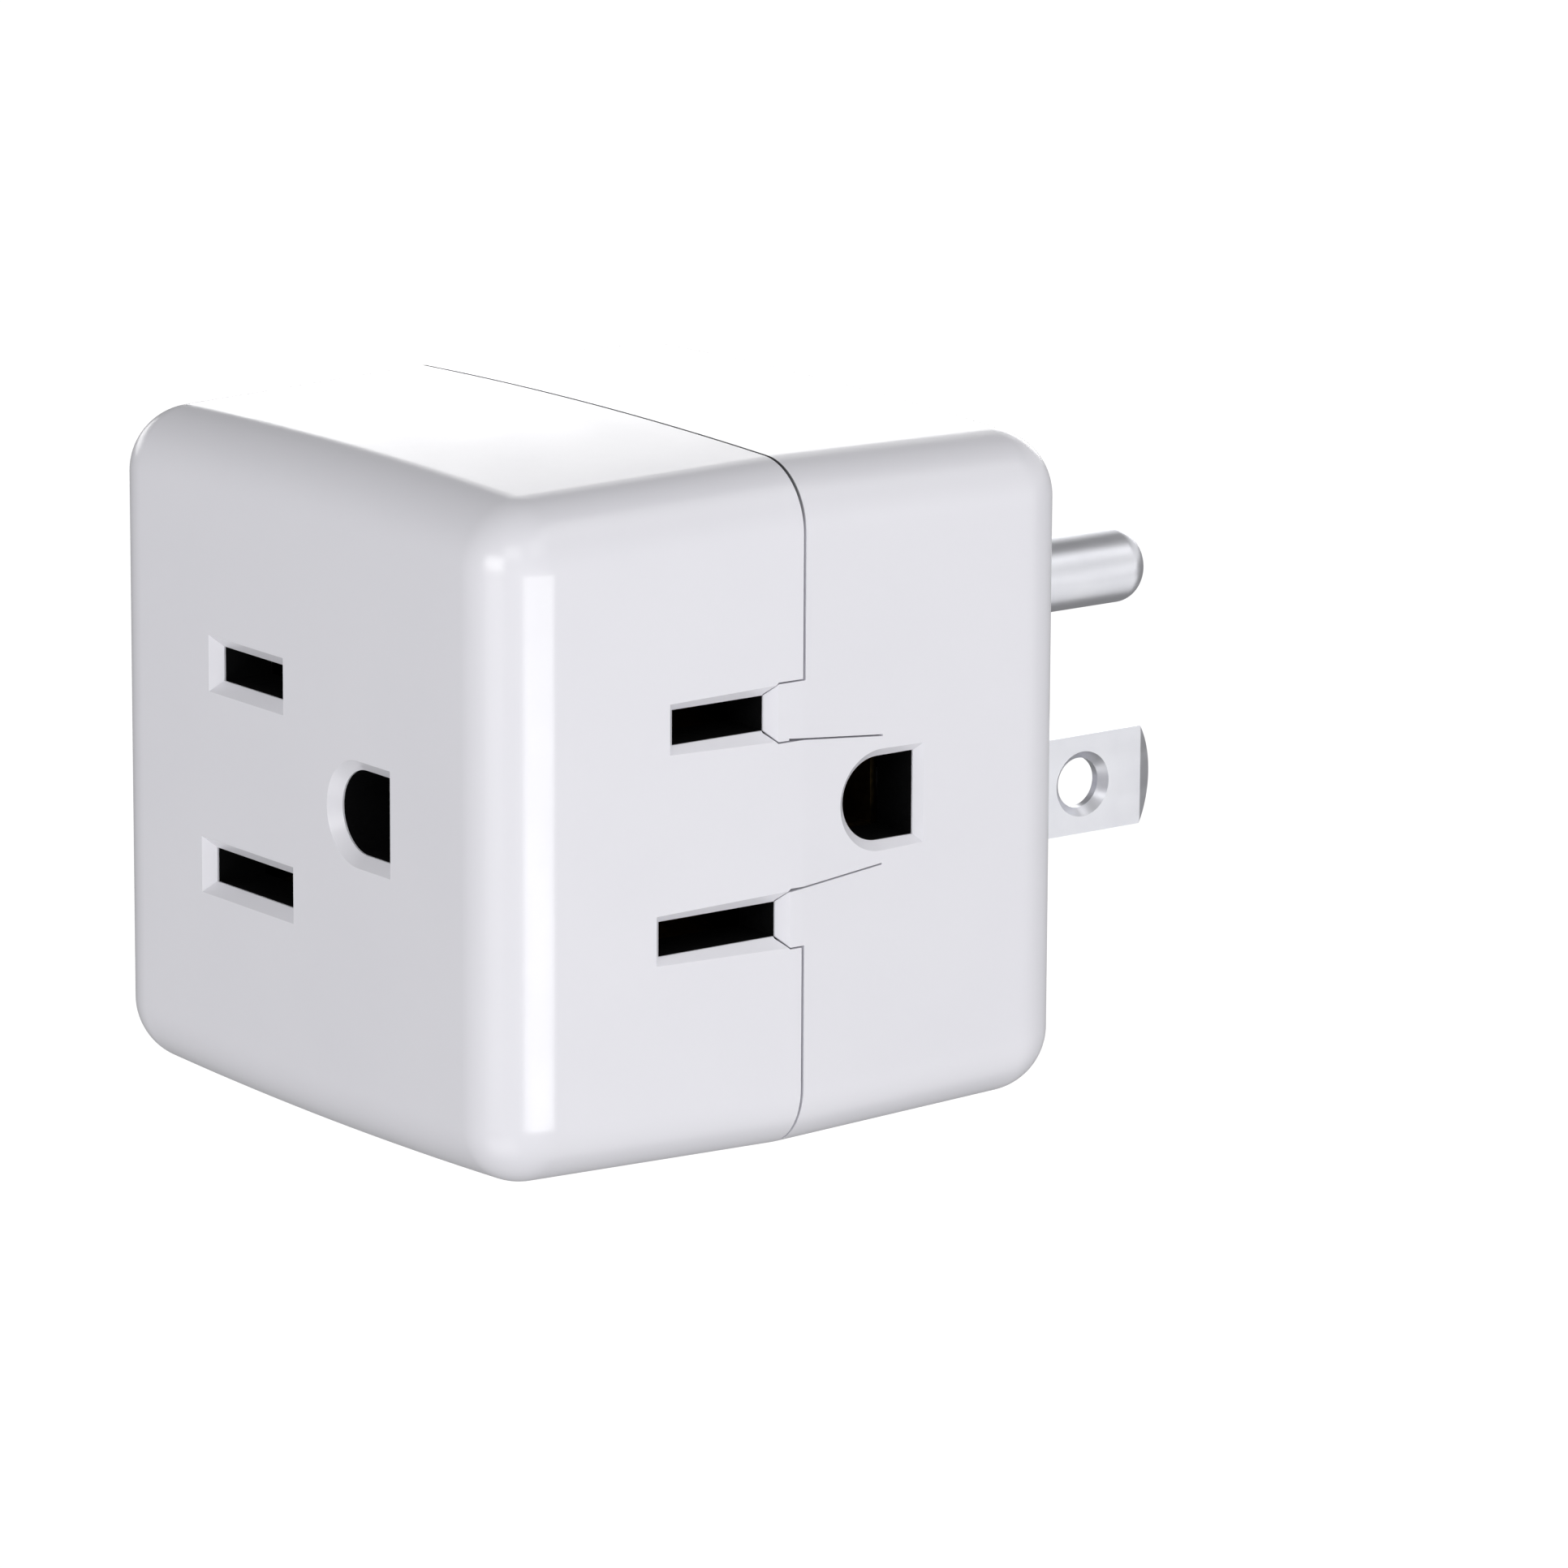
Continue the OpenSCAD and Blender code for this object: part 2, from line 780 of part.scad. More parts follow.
// Middle bar below the pins, with an upright that the ground pin is riveted to
module ground_bus() {
    half_w = ground_bar_w / 2;
    z0 = ground_base_z - ground_bus_t;
    color(brass)
        difference() {
            union() {
                box(
                    [-half_w, -body_d + ground_waist - rivet_edge, z0],
                    [half_w, upright_rear, ground_base_z]
                );
                for (turn = [RIGHT, LEFT])
                    at_outlet(turn)
                        box(
                            [ground_ear_x - rivet_edge, ground_waist - rivet_edge, z0],
                            [ground_ear_x + rivet_edge, body_w / 2, ground_base_z]
                        );
                box(
                    [-half_w, upright_front, z0],
                    [half_w, upright_rear, pin_z() + upright_margin]
                );
            }
            for (turn = FACES)
                at_outlet(turn)
                    translate([ground_ear_x, ground_waist, z0])
                        cylinder(r = rivet_r + rivet_play, h = 3, center = true);
            rod(0, pin_z(), pin_stem_r + rivet_play, upright_front - 1, upright_rear + 1);
        }
}

// ------------------------------------------------------------------ rivets

// Rivet along Z that grips from z0 to z1, with a head at the top and, if asked, below
module clip_rivet(z0, z1, low_head) {
    translate([0, 0, z0])
        cylinder(r = rivet_r, h = z1 - z0);
    translate([0, 0, z1])
        cylinder(r = rivet_head_r, h = rivet_head_t);
    if (low_head)
        translate([0, 0, z0 - rivet_head_t])
            cylinder(r = rivet_head_r, h = rivet_head_t);
}

module clip_rivets() {
    color(nickel)
        for (turn = FACES)
            at_outlet(turn) {
                for (side = [0, 1])
                    mirror([0, 0, side])
                        translate([0, clip_rivet_s, 0])
                            clip_rivet(bus_z - clip_t, bus_z + bus_t, true);
                translate([ground_ear_x, ground_waist, 0])
                    clip_rivet(ground_base_z - ground_bus_t, ground_base_z + ground_clip_t, false);
            }
}

module blade_rivets() {
    grip = blade_t + bus_t;
    color(nickel)
        for (side = [-1, 1])
            translate([side * (blade_pitch - blade_t) / 2, blade_rivet_y, tail_z])
                rotate([0, side * 90, 0]) {
                    translate([0, 0, -blade_rivet_head_t])
                        cylinder(r = blade_rivet_head_r, h = blade_rivet_head_t);
                    cylinder(r = blade_rivet_r, h = grip);
                    translate([0, 0, grip])
                        cylinder(r = blade_rivet_head_r, h = blade_rivet_head_t);
                }
}

front_cover();
rear_housing();
housing_screws();
contact_carrier();
carrier_cap();
line_bus();
neutral_bus();
ground_bus();
front_line_clip();
front_neutral_clip();
front_ground_clip();
right_line_clip();
right_neutral_clip();
right_ground_clip();
left_line_clip();
left_neutral_clip();
left_ground_clip();
clip_rivets();
blade_rivets();
line_blade();
neutral_blade();
ground_pin();
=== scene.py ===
# Looks of the grounded cube tap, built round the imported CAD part.
#
# The white shells, the blades and the ground pin are remade as smooth meshes with the
# CAD's own measures. The black insulators, the brass parts and the screws are the CAD
# nodes with better materials. Everything is worked out in millimetres and scaled to
# metres when a piece is finished.
import json
import math

import bmesh
import bpy
from mathutils import Matrix, Vector


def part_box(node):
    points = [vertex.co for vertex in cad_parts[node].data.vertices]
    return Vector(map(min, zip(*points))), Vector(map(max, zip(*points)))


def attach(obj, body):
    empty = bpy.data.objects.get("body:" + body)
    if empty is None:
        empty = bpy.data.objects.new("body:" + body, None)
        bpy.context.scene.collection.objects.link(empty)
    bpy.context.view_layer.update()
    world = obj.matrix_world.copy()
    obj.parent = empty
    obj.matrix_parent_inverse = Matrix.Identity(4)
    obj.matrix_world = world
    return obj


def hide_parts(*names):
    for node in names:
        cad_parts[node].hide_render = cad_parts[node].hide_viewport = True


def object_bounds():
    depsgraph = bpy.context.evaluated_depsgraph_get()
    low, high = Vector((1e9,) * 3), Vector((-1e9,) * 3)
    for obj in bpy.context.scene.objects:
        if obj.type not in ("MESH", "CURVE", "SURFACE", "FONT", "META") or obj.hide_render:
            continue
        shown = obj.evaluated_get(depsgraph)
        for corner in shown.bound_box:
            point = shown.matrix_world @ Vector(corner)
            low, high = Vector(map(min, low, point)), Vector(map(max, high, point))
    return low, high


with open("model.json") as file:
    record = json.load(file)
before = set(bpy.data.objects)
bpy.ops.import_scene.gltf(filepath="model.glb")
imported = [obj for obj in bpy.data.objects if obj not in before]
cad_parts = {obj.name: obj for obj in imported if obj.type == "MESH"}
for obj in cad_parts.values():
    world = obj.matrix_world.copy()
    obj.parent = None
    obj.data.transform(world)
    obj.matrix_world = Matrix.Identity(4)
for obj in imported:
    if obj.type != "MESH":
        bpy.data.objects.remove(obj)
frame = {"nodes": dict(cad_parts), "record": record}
cad_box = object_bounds()

MM = 0.001


def in_mm(corner):
    return Vector(corner) / MM


# ------------------------------------------------------------------ measures

cover_low, cover_high = (in_mm(c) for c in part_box("front_cover"))
rear_high = in_mm(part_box("rear_housing")[1])

BODY_W = cover_high.x - cover_low.x
BODY_H = cover_high.z - cover_low.z
BODY_D = rear_high.y - cover_low.y
EDGE_R = 4.1
DRAFT = 0.4
CROWN = 0.33
WALL = 2.4
PARTING_Y = -21.2
SEAM_GAP = 0.2
# A little wider than the CAD's 0.08, so that the fine joint lines read as dark lines
JOINT_GAP = 0.11

SLOT_PITCH = 12.7
GROUND_OFFSET = 11.9
HOT_SLOT_L = 6.7
NEUTRAL_SLOT_L = 8.6
SLOT_T = 2.15
GROUND_HOLE_R = 2.6
GROUND_FLAT = 2.7
LEAD_IN = 0.68
LIP = LEAD_IN + 0.12
POCKET_MARGIN = 0.9
OUTLET_SHIFT = 5.6
LINE_Z = SLOT_PITCH / 2
NEUTRAL_Z = -SLOT_PITCH / 2
TONGUE_ROOT = SLOT_PITCH / 2 - SLOT_T / 2 - LEAD_IN
TONGUE_TIP = 3.9
FRONT, RIGHT, LEFT = 0, 1, -1

BLADE_Z = -5.5
BLADE_X = 6.35
BLADE_W = 6.35
BLADE_T = 1.52
BLADE_L = 17.5
BLADE_BULGE = 1.1
BLADE_HOLE_R = 1.6
BLADE_HOLE_Y = 11.8
BLADE_SINK = 0.5
PIN_Z = 6.4
PIN_R = 2.375
PIN_L = 21.5
PIN_DOME = 1.9
NECK_R = PIN_R + 0.2
SHANK_R = PIN_R - 0.3
COLLAR_R = 3.2
# Length of the pin's collar and of the blades' shoulders
COLLAR_L = 1
PIN_BUTTON_R = 2.0
PIN_RIVET_R = 1.3
PIN_BUTTON_L = 0.5
WALL_PLAY = 0.05

CAP_FRONT = -4.4
CAP_REAR = -2.6
TAIL_END = -11.0
TAIL_W = 4.2
TAIL_Z = -6.5
TAIL_OVERLAP = 0.5
SHOULDER_W = 8.4
BEVEL_SHARE = 0.3
RIVET_Y = -8.5
RIVET_HOLE_R = 1.02
UPRIGHT_T = 0.7
UPRIGHT_REAR = CAP_FRONT - 0.1
UPRIGHT_FRONT = UPRIGHT_REAR - UPRIGHT_T

SCREW_Z = 15.2
SCREW_BORE_R = 1.25
SCREW_BORE_END = -27
SCREW_CLEAR_R = 1.4
HEAD_BORE_R = 2.6
HEAD_SEAT = -2.1
BOSS_R = 3.0
BOSS_SPLIT = -14.0
BOSS_GAP = 0.1
LAP_L = 1.5
LAP_DEPTH = 1.6
LAP_PLAY = 0.1

# How far a tool reaches past the surface that it cuts, or back into what it joins
OVERSHOOT = 1
# How far two pieces run into each other before they are joined
WELD = 0.05
# Keeps the surfaces of two tools from lying in one plane
HAIR = 0.01


# -------------------------------------------------------------- mesh helpers


def new_object(name, bm):
    mesh = bpy.data.meshes.new(name)
    bm.to_mesh(mesh)
    bm.free()
    piece = bpy.data.objects.new(name, mesh)
    bpy.context.scene.collection.objects.link(piece)
    return piece


def closed_mesh(name, rings):
    """Solid through rings of points, with a cap on the first and the last ring."""
    bm = bmesh.new()
    rows = [[bm.verts.new(p) for p in ring] for ring in rings]
    for a, b in zip(rows, rows[1:]):
        for i in range(len(a)):
            j = (i + 1) % len(a)
            bm.faces.new((a[i], a[j], b[j], b[i]))
    bm.faces.new(rows[0])
    bm.faces.new(rows[-1])
    bmesh.ops.recalc_face_normals(bm, faces=bm.faces)
    return new_object(name, bm)


def box(low, high):
    corners = [(low[0], low[2]), (high[0], low[2]), (high[0], high[2]), (low[0], high[2])]
    return closed_mesh("box", [[(x, y, z) for x, z in corners] for y in (low[1], high[1])])


def rod(x, z, profile, sides=64):
    """Turned solid along Y; profile lists (radius, y) from one end to the other."""
    rings = []
    for radius, y in profile:
        turns = [2 * math.pi * i / sides for i in range(sides)]
        rings.append([(x + radius * math.cos(t), y, z + radius * math.sin(t)) for t in turns])
    return closed_mesh("rod", rings)


def slab(outline, y0, y1, inner=None):
    """Prism between y0 and y1 from an outline in X and Z, to a second outline at y1."""
    inner = inner or outline
    return closed_mesh(
        "slab", [[(x, y0, z) for x, z in outline], [(x, y1, z) for x, z in inner]]
    )


def placed(piece, matrix):
    piece.data.transform(matrix)
    return piece


def at_outlet(piece, turn):
    """Carries a piece from an outlet's own frame to its face."""
    reach = BODY_D / 2 if turn == FRONT else BODY_W / 2
    to_face = (
        Matrix.Translation((0, -BODY_D / 2, 0))
        @ Matrix.Rotation(math.radians(90 * turn), 4, "Z")
        @ Matrix.Translation((-OUTLET_SHIFT, -reach, 0))
    )
    return placed(piece, to_face)


def combine(target, tools, operation):
    """Applies boolean operations one after another and removes the tools."""
    for tool in tools:
        step = target.modifiers.new("step", "BOOLEAN")
        step.operation = operation
        step.solver = "MANIFOLD"
        step.object = tool
        evaluated = target.evaluated_get(bpy.context.evaluated_depsgraph_get())
        made = bpy.data.meshes.new_from_object(evaluated)
        target.modifiers.remove(step)
        old, target.data = target.data, made
        bpy.data.meshes.remove(old)
        bpy.data.objects.remove(tool)
    return target


def cut(target, *tools):
    return combine(target, tools, "DIFFERENCE")


def join(target, *tools):
    return combine(target, tools, "UNION")


def keep(target, *tools):
    return combine(target, tools, "INTERSECT")


# --------------------------------------------------------------- outer form

CORNER_STEPS = 12
CROWN_STEPS = 8
SAME_POINT = 1e-4
half_x = BODY_W / 2 - EDGE_R
half_z = BODY_H / 2 - EDGE_R
front_y = -BODY_D + EDGE_R
back_y = -EDGE_R
draft_slope = {
    front_y: -DRAFT / (PARTING_Y - front_y),
    back_y: DRAFT / (back_y - PARTING_Y),
}


def inset(y):
    """How far the rounded core is drawn in at depth y by the draft."""
    end = front_y if y < PARTING_Y else back_y
    return DRAFT * (y - PARTING_Y) / (end - PARTING_Y)


def corner_steps(first, sign):
    """Tangents of the normal's tilt from the flat's own tilt to 45 degrees."""
    start = math.atan(abs(first))
    last = math.pi / 4
    tilts = [start + (last - start) * i / CORNER_STEPS for i in range(1, CORNER_STEPS + 1)]
    return [sign * math.tan(t) for t in tilts]


def with_corners(flats):
    """Adds the corner steps at both ends of a list of (place, tilt)."""
    low = [(flats[0][0], t) for t in reversed(corner_steps(flats[0][1], -1))]
    high = [(flats[-1][0], t) for t in corner_steps(flats[-1][1], 1)]
    return low + flats + high


def body_form():
    """Rounded, drafted and crowned block as the sum of a core and a ball."""
    across = [i / CROWN_STEPS for i in range(-CROWN_STEPS, CROWN_STEPS + 1)]
    crown_tilt = 2 * CROWN / half_x
    top_x = with_corners([(a, crown_tilt * a) for a in across])
    flat_x = with_corners([(a, 0.0) for a in across])
    deep = with_corners([
        (front_y, draft_slope[front_y]),
        (PARTING_Y, draft_slope[front_y]),
        (PARTING_Y, draft_slope[back_y]),
        (back_y, draft_slope[back_y]),
    ])
    up = with_corners([(-1.0, 0.0), (1.0, 0.0)])

    def core(a, y, b):
        rise = half_z - inset(y) - CROWN * a * a
        return Vector((a * (half_x - inset(y)), y, b * rise))

    def point(a, y, b, normal):
        return core(a, y, b) + EDGE_R * Vector(normal).normalized()

    patches = []
    for side in (-1, 1):
        patches.append([[point(a, y, side, (ta, ty, side)) for a, ta in top_x] for y, ty in deep])
        patches.append([[point(side, y, b, (side, ty, tb)) for y, ty in deep] for b, tb in up])
        y = front_y if side < 0 else back_y
        rows = []
        for b, tb in up:
            share = abs(tb)
            row = []
            for (a, tilt_flat), (_, tilt_top) in zip(flat_x, top_x):
                tilt = tilt_flat * (1 - share) + tilt_top * share
                row.append(point(a, y, b, (tilt, side, tb)))
            rows.append(row)
        patches.append(rows)

    bm = bmesh.new()
    for rows in patches:
        grid = [[bm.verts.new(p) for p in row] for row in rows]
        for low, high in zip(grid, grid[1:]):
            for i in range(len(low) - 1):
                bm.faces.new((low[i], low[i + 1], high[i + 1], high[i]))
    bmesh.ops.remove_doubles(bm, verts=bm.verts, dist=SAME_POINT)
    bmesh.ops.recalc_face_normals(bm, faces=bm.faces)
    return new_object("form", bm)


# ------------------------------------------------------------------- outlets


def slot_outline(z, grow):
    length = HOT_SLOT_L if z > 0 else NEUTRAL_SLOT_L
    x = length / 2 + grow
    h = SLOT_T / 2 + grow
    return [(-x, z - h), (x, z - h), (x, z + h), (-x, z + h)]


def ground_outline(grow):
    r = GROUND_HOLE_R + grow
    flat = GROUND_OFFSET + GROUND_FLAT + grow
    turns = [math.radians(a) for a in range(90, 271, 5)]
    arc = [(GROUND_OFFSET + r * math.cos(t), r * math.sin(t)) for t in turns]
    return arc + [(flat, -r), (flat, r)]


def opening_outlines(grow):
    return [slot_outline(LINE_Z, grow), slot_outline(NEUTRAL_Z, grow), ground_outline(grow)]


def outlet_cutters():
    """Lead-in, clear opening and pocket behind the lip, for every opening."""
    tools = []
    for turn in (FRONT, RIGHT, LEFT):
        outers = opening_outlines(LEAD_IN + OVERSHOOT)
        clears = opening_outlines(0)
        pockets = opening_outlines(POCKET_MARGIN)
        for outer, clear, pocket in zip(outers, clears, pockets):
            tools.append(at_outlet(slab(outer, -OVERSHOOT, LEAD_IN, clear), turn))
            tools.append(at_outlet(slab(clear, LEAD_IN - HAIR, LIP + HAIR), turn))
            tools.append(at_outlet(slab(pocket, LIP, WALL + OVERSHOOT), turn))
    return tools


# -------------------------------------------------------------------- shells


def seam_x(turn):
    """Where the parting plane cuts a side outlet's frame."""
    return turn * (PARTING_Y + BODY_D / 2) + OUTLET_SHIFT


def tabs(turn, grow):
    """Tabs that close the ends of both slots, as prisms through the side wall."""
    tools = []
    edge = seam_x(turn) + OVERSHOOT
    for z in (LINE_Z, NEUTRAL_Z):
        x = (HOT_SLOT_L if z > 0 else NEUTRAL_SLOT_L) / 2
        h = SLOT_T / 2
        wide = h + LEAD_IN + grow
        narrow = h + grow
        outline = [
            (edge, z - wide), (edge, z + wide),
            (x + LEAD_IN, z + wide), (x - grow, z + narrow),
            (x - grow, z - narrow), (x + LEAD_IN, z - wide),
        ]
        tools.append(at_outlet(slab(outline, -OVERSHOOT, WALL + HAIR), turn))
    return tools


def tongue(turn, grow):
    """Tongue between the slots that reaches to the middle of the ground hole."""
    root = seam_x(turn) - OVERSHOOT
    outline = [
        (root, -TONGUE_ROOT - grow), (GROUND_OFFSET, -TONGUE_TIP - grow),
        (GROUND_OFFSET, TONGUE_TIP + grow), (root, TONGUE_ROOT + grow),
    ]
    return [at_outlet(slab(outline, -OVERSHOOT, WALL + HAIR), turn)]


def zone(y0, y1, added, removed):
    """Room that one shell takes up, with its own tabs or tongue and without the other's."""
    room = box((-BODY_W, y0, -BODY_H), (BODY_W, y1, BODY_H))
    join(room, *added)
    return cut(room, *removed)


def cavity():
    """Hollow inside both shells."""
    w = BODY_W / 2 - WALL
    h = BODY_H / 2 - WALL
    return box((-w, -BODY_D + WALL, -h), (w, -WALL, h))


def lap(grow):
    """Ring on the rear shell that closes the parting gap from inside."""
    w = BODY_W / 2 - LAP_DEPTH + grow
    h = BODY_H / 2 - LAP_DEPTH + grow
    block = box((-w, PARTING_Y - LAP_L - grow, -h), (w, PARTING_Y + OVERSHOOT, h))
    return cut(block, cavity())


def at_screws(radius, y0, y1):
    """A rod on the axis of each housing screw."""
    return [rod(0, z, [(radius, y0), (radius, y1)]) for z in (-SCREW_Z, SCREW_Z)]


def front_shell():
    shell = body_form()
    room = zone(
        -BODY_D - OVERSHOOT, PARTING_Y,
        tongue(RIGHT, 0) + tabs(LEFT, 0),
        tabs(RIGHT, JOINT_GAP) + tongue(LEFT, JOINT_GAP),
    )
    keep(shell, room)
    cut(shell, cavity(), lap(LAP_PLAY))
    join(shell, *at_screws(BOSS_R, -BODY_D + WALL - WELD, BOSS_SPLIT - BOSS_GAP))
    bores = at_screws(SCREW_BORE_R, SCREW_BORE_END, BOSS_SPLIT + OVERSHOOT)
    cut(shell, *outlet_cutters(), *bores)
    return shell


def rear_shell():
    shell = body_form()
    room = zone(
        PARTING_Y + SEAM_GAP, OVERSHOOT,
        tabs(RIGHT, 0) + tongue(LEFT, 0),
        tongue(RIGHT, JOINT_GAP) + tabs(LEFT, JOINT_GAP),
    )
    cut(shell, cavity())
    keep(shell, room)
    join(shell, cut(lap(0), *tongue(RIGHT, JOINT_GAP)))
    join(shell, *at_screws(BOSS_R, BOSS_SPLIT, -WALL + WELD))
    inside = -WALL - OVERSHOOT
    plug_holes = []
    for x in (-BLADE_X, BLADE_X):
        w = BLADE_T / 2 + WALL_PLAY
        h = BLADE_W / 2 + WALL_PLAY
        plug_holes.append(box((x - w, inside, BLADE_Z - h), (x + w, OVERSHOOT, BLADE_Z + h)))
    hole_r = NECK_R + WALL_PLAY
    plug_holes.append(rod(0, PIN_Z, [(hole_r, inside), (hole_r, OVERSHOOT)]))
    bores = at_screws(SCREW_CLEAR_R, BOSS_SPLIT - OVERSHOOT, OVERSHOOT)
    head_bores = at_screws(HEAD_BORE_R, HEAD_SEAT, OVERSHOOT)
    cut(shell, *outlet_cutters(), *plug_holes, *bores, *head_bores)
    return shell


# ------------------------------------------------------------------ finishing

SHARP_ANGLE = 30


def finished(piece, name, node):
    """Scales a piece to metres, shades it, and lets it stand for its CAD node."""
    piece.name = name
    piece.data.name = name
    piece.data.transform(Matrix.Scale(MM, 4))
    for face in piece.data.polygons:
        face.use_smooth = True
    piece.data.set_sharp_from_angle(angle=math.radians(SHARP_ANGLE))
    shade = piece.modifiers.new("even_shading", "WEIGHTED_NORMAL")
    shade.mode = "FACE_AREA_WITH_ANGLE"
    shade.keep_sharp = True
    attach(piece, "root")
    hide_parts(node)
    return piece


# ---------------------------------------------------------------- plug metal


def blade_outline(steps=24):
    """Side view of the blade beyond the cap, in Y and Z, with its rounded end."""
    half = BLADE_W / 2
    arc_r = (half * half + BLADE_BULGE * BLADE_BULGE) / (2 * BLADE_BULGE)
    swing = math.asin(half / arc_r)
    turns = [swing * (2 * i / steps - 1) for i in range(steps + 1)]
    arc = [(BLADE_L + arc_r * (math.cos(t) - 1), arc_r * math.sin(t)) for t in turns]
    return [(CAP_FRONT, -half)] + arc + [(CAP_FRONT, half)]


def bar(outline, half_t):
    """Prism across X, half_t to each side, from an outline in Y and Z."""
    return closed_mesh("bar", [[(x, y, z) for y, z in outline] for x in (-half_t, half_t)])


def rectangle(y0, y1, z0, z1):
    return [(y0, z0), (y1, z0), (y1, z1), (y0, z1)]


def across_blade(piece, y=0.0, z=0.0):
    """Turns a piece made along Y to lie along X, at y and z on the blade."""
    return placed(piece, Matrix.Translation((0, y, z)) @ Matrix.Rotation(math.pi / 2, 4, "Z"))


def end_wedge(side):
    """Cutter for the bevel on one side of the blade's end, from the corners outwards."""
    half_t = BLADE_T / 2
    y0 = BLADE_L - BLADE_BULGE
    y1 = y0 + 2 * BLADE_BULGE
    inner_x = half_t - 2 * BEVEL_SHARE * BLADE_T
    outer_x = half_t + OVERSHOOT
    rings = []
    for z in (-BLADE_W, BLADE_W):
        corners = [(half_t, y0), (inner_x, y1), (outer_x, y1), (outer_x, y0)]
        rings.append([(side * x, y, z) for x, y in corners])
    return closed_mesh("wedge", rings)


def blade(x):
    """Plug blade with its shoulder, its tail inside the body, a bevelled end and a hole."""
    half_t = BLADE_T / 2
    beyond = half_t + OVERSHOOT
    tail_z = TAIL_Z - BLADE_Z
    half_w = SHOULDER_W / 2
    half_tail = TAIL_W / 2
    tail_root = CAP_FRONT + TAIL_OVERLAP
    shape = bar(blade_outline(), half_t)
    join(
        shape,
        bar(rectangle(CAP_REAR - COLLAR_L, CAP_REAR, -half_w, half_w), half_t),
        bar(rectangle(TAIL_END, tail_root, tail_z - half_tail, tail_z + half_tail), half_t),
    )
    for side in (-1, 1):
        cut(shape, end_wedge(side))
    sink_r = BLADE_HOLE_R + BLADE_SINK
    hole = rod(0, 0, [
        (sink_r + OVERSHOOT, beyond), (sink_r, half_t), (BLADE_HOLE_R, half_t - BLADE_SINK),
        (BLADE_HOLE_R, BLADE_SINK - half_t), (sink_r, -half_t), (sink_r + OVERSHOOT, -beyond),
    ])
    cut(shape, across_blade(hole, y=BLADE_HOLE_Y))
    rivet_hole = rod(0, 0, [(RIVET_HOLE_R, -beyond), (RIVET_HOLE_R, beyond)])
    cut(shape, across_blade(rivet_hole, y=RIVET_Y, z=tail_z))
    return placed(shape, Matrix.Translation((x, 0, BLADE_Z)))


def ground_pin():
    """Turned pin: rivet button, shank, collar, neck, and the plain part with its dome."""
    straight = PIN_L - PIN_DOME
    collar_front = CAP_REAR - COLLAR_L
    turns = [math.radians(a) for a in range(0, 88, 4)]
    dome = [(PIN_R * math.cos(t), straight + PIN_DOME * math.sin(t)) for t in turns]
    profile = [
        (PIN_BUTTON_R, UPRIGHT_FRONT - PIN_BUTTON_L), (PIN_BUTTON_R, UPRIGHT_FRONT),
        (PIN_RIVET_R, UPRIGHT_FRONT), (PIN_RIVET_R, UPRIGHT_REAR),
        (SHANK_R, UPRIGHT_REAR), (SHANK_R, collar_front),
        (COLLAR_R, collar_front), (COLLAR_R, CAP_REAR),
        (NECK_R, CAP_REAR), (NECK_R, 0), (PIN_R, 0),
    ]
    return rod(0, PIN_Z, profile + dome, sides=96)


front_piece = finished(front_shell(), "front_cover_moulding", "front_cover")
rear_piece = finished(rear_shell(), "rear_housing_moulding", "rear_housing")
line_piece = finished(blade(-BLADE_X), "line_blade_plated", "line_blade")
neutral_piece = finished(blade(BLADE_X), "neutral_blade_plated", "neutral_blade")
pin_piece = finished(ground_pin(), "ground_pin_plated", "ground_pin")


# ------------------------------------------------------------------ materials

# Painted shade in the parting gap: how far it reaches past the gap, how strong it is on top, and
# its near-black colour
PAINTED_SHADE_RIM = 0.02
PAINTED_SHADE_COVER = 0.95
PAINTED_SHADE_COLOUR = (0.05, 0.05, 0.052)


def start_material(name):
    """New material; returns it with its node tree and its Principled shader."""
    material = bpy.data.materials.new(name)
    material.use_nodes = True
    tree = material.node_tree
    shader = tree.nodes["Principled BSDF"]
    return material, tree, shader


def noise(tree, scale, detail=3.0, stretch=(1, 1, 1)):
    """Noise in object space, with scale cells per metre, fewer along a stretched axis."""
    place = tree.nodes.new("ShaderNodeTexCoord")
    mapping = tree.nodes.new("ShaderNodeMapping")
    mapping.inputs["Scale"].default_value = stretch
    texture = tree.nodes.new("ShaderNodeTexNoise")
    texture.inputs["Scale"].default_value = scale
    texture.inputs["Detail"].default_value = detail
    tree.links.new(place.outputs["Object"], mapping.inputs["Vector"])
    tree.links.new(mapping.outputs["Vector"], texture.inputs["Vector"])
    return texture.outputs["Fac"]


def remap(tree, value, low, high):
    """Spreads the middle of a noise's range over low to high."""
    node = tree.nodes.new("ShaderNodeMapRange")
    node.inputs["From Min"].default_value = 0.3
    node.inputs["From Max"].default_value = 0.7
    node.inputs["To Min"].default_value = low
    node.inputs["To Max"].default_value = high
    tree.links.new(value, node.inputs["Value"])
    return node.outputs["Result"]


def blend_colours(tree, value, first, second):
    """Mixes two colours; either can also be the output of another node."""
    node = tree.nodes.new("ShaderNodeMix")
    node.data_type = "RGBA"
    for name, colour in (("A", first), ("B", second)):
        if isinstance(colour, bpy.types.NodeSocket):
            tree.links.new(colour, node.inputs[name])
        else:
            node.inputs[name].default_value = (*colour, 1)
    tree.links.new(value, node.inputs["Factor"])
    return node.outputs["Result"]


def bump(tree, shader, height, depth, before=None):
    """Bump of a depth in metres, on top of an earlier bump if one is given."""
    node = tree.nodes.new("ShaderNodeBump")
    node.inputs["Distance"].default_value = depth
    tree.links.new(height, node.inputs["Height"])
    if before is not None:
        tree.links.new(before, node.inputs["Normal"])
    tree.links.new(node.outputs["Normal"], shader.inputs["Normal"])
    return node.outputs["Normal"]


